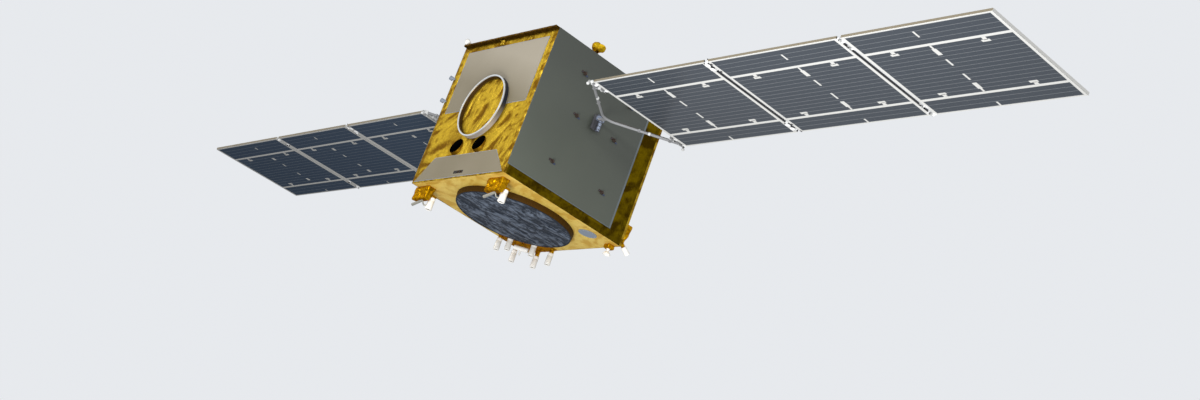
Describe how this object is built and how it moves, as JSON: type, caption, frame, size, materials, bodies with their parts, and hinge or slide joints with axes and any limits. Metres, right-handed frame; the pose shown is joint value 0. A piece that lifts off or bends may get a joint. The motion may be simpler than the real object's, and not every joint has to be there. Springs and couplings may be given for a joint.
{
  "type": "satellite with two folding solar arrays",
  "caption": "Box-shaped satellite in gold blankets and grey radiators, with a folding solar array on a turning drive at each side.",
  "frame": {"origin": "centre of the separation plane, the lowest face of the ring under the body", "axes": "+X towards the right array, -Y out of the front face with the port ring, +Z towards the top deck"},
  "size_m": [11.672, 1.7114, 1.8686],
  "materials": {
    "gold_blanket": "crinkled metallised film",
    "radiator_grey": "matt",
    "aluminium": "satin",
    "dark_bronze": "dark coated metal",
    "slate_blanket": "crinkled",
    "dark_composite": "matt",
    "white_ceramic": "matt",
    "solar_cells": "glossy cells on a composite panel",
    "tank_metal": "satin"
  },
  "bodies": {
    "bus": {"bottom_deck": "gold_blanket", "top_deck": "gold_blanket", "front_wall": "gold_blanket", "rear_wall": "gold_blanket", "right_wall": "gold_blanket", "left_wall": "gold_blanket", "propellant_tank": "tank_metal", "separation_ring": "dark_bronze", "aft_closeout": "slate_blanket", "front_upper_radiator": "radiator_grey", "front_lower_radiator": "radiator_grey", "right_radiator": "radiator_grey", "left_radiator": "radiator_grey", "payload_port_ring": "aluminium", "payload_port_cover": "gold_blanket", "star_tracker_left": "dark_composite", "star_tracker_right": "dark_composite", "thruster_bracket_front_left": "gold_blanket", "thruster_bracket_front_right": "gold_blanket", "thruster_bracket_rear_left": "gold_blanket", "thruster_bracket_rear_right": "gold_blanket", "thruster_foot_rear_right": "gold_blanket", "thruster_front_left": "white_ceramic", "thruster_front_right": "white_ceramic", "side_thruster_front_left": "aluminium", "side_thruster_front_right": "aluminium", "thruster_rear_left_1": "white_ceramic", "thruster_rear_left_2": "white_ceramic", "thruster_rear_left_3": "white_ceramic", "thruster_rear_left_4": "white_ceramic", "thruster_rear_left_5": "white_ceramic", "thruster_rear_left_6": "white_ceramic", "thruster_rear_left_7": "white_ceramic", "thruster_rear_right_1": "white_ceramic", "thruster_rear_right_2": "white_ceramic", "test_port_lid": "aluminium", "top_antenna": "gold_blanket", "top_sun_sensor": "white_ceramic", "upper_sun_sensor": "white_ceramic", "lower_sun_sensor": "white_ceramic", "right_drive_housing": "dark_composite", "left_drive_housing": "dark_composite"},
    "right_drive": {"right_drive_hub": "aluminium", "right_drive_bracket": "dark_composite", "right_drive_motor": "aluminium"},
    "right_yoke": {"right_yoke": "aluminium"},
    "right_panel_1": {"right_panel_1": "solar_cells"},
    "right_panel_2": {"right_panel_2": "solar_cells"},
    "right_panel_3": {"right_panel_3": "solar_cells"},
    "left_drive": {"left_drive_hub": "aluminium", "left_drive_bracket": "dark_composite", "left_drive_motor": "aluminium"},
    "left_yoke": {"left_yoke": "aluminium"},
    "left_panel_1": {"left_panel_1": "solar_cells"},
    "left_panel_2": {"left_panel_2": "solar_cells"},
    "left_panel_3": {"left_panel_3": "solar_cells"}
  },
  "joints": [
    {"name": "right_array_drive", "type": "hinge", "parent": "bus", "child": "right_drive", "pos_m": [0.75, 0, 1.006], "axis": [1, 0, 0], "continuous": true},
    {"name": "right_yoke_fold", "type": "hinge", "parent": "right_drive", "child": "right_yoke", "pos_m": [0.795, 0, 1.006], "axis": [0, -1, 0], "range_deg": [0, 90]},
    {"name": "right_panel_1_fold", "type": "hinge", "parent": "right_yoke", "child": "right_panel_1", "pos_m": [1.3585, 0, 0.986], "axis": [0, -1, 0], "range_deg": [-180, 0]},
    {"name": "right_panel_2_fold", "type": "hinge", "parent": "right_panel_1", "child": "right_panel_2", "pos_m": [2.8585, 0, 1.026], "axis": [0, -1, 0], "range_deg": [0, 180]},
    {"name": "right_panel_3_fold", "type": "hinge", "parent": "right_panel_2", "child": "right_panel_3", "pos_m": [4.3585, 0, 0.986], "axis": [0, -1, 0], "range_deg": [-180, 0]},
    {"name": "left_array_drive", "type": "hinge", "parent": "bus", "child": "left_drive", "pos_m": [-0.75, 0, 1.006], "axis": [-1, 0, 0], "continuous": true},
    {"name": "left_yoke_fold", "type": "hinge", "parent": "left_drive", "child": "left_yoke", "pos_m": [-0.795, 0, 1.006], "axis": [0, 1, 0], "range_deg": [0, 90]},
    {"name": "left_panel_1_fold", "type": "hinge", "parent": "left_yoke", "child": "left_panel_1", "pos_m": [-1.3585, 0, 0.986], "axis": [0, 1, 0], "range_deg": [-180, 0]},
    {"name": "left_panel_2_fold", "type": "hinge", "parent": "left_panel_1", "child": "left_panel_2", "pos_m": [-2.8585, 0, 1.026], "axis": [0, 1, 0], "range_deg": [0, 180]},
    {"name": "left_panel_3_fold", "type": "hinge", "parent": "left_panel_2", "child": "left_panel_3", "pos_m": [-4.3585, 0, 0.986], "axis": [0, 1, 0], "range_deg": [-180, 0]}
  ],
  "couplings": [
    {"joint": "right_panel_1_fold", "follows": "right_yoke_fold", "ratio": -2},
    {"joint": "right_panel_2_fold", "follows": "right_yoke_fold", "ratio": 2},
    {"joint": "right_panel_3_fold", "follows": "right_yoke_fold", "ratio": -2},
    {"joint": "left_panel_1_fold", "follows": "left_yoke_fold", "ratio": -2},
    {"joint": "left_panel_2_fold", "follows": "left_yoke_fold", "ratio": 2},
    {"joint": "left_panel_3_fold", "follows": "left_yoke_fold", "ratio": -2}
  ]
}
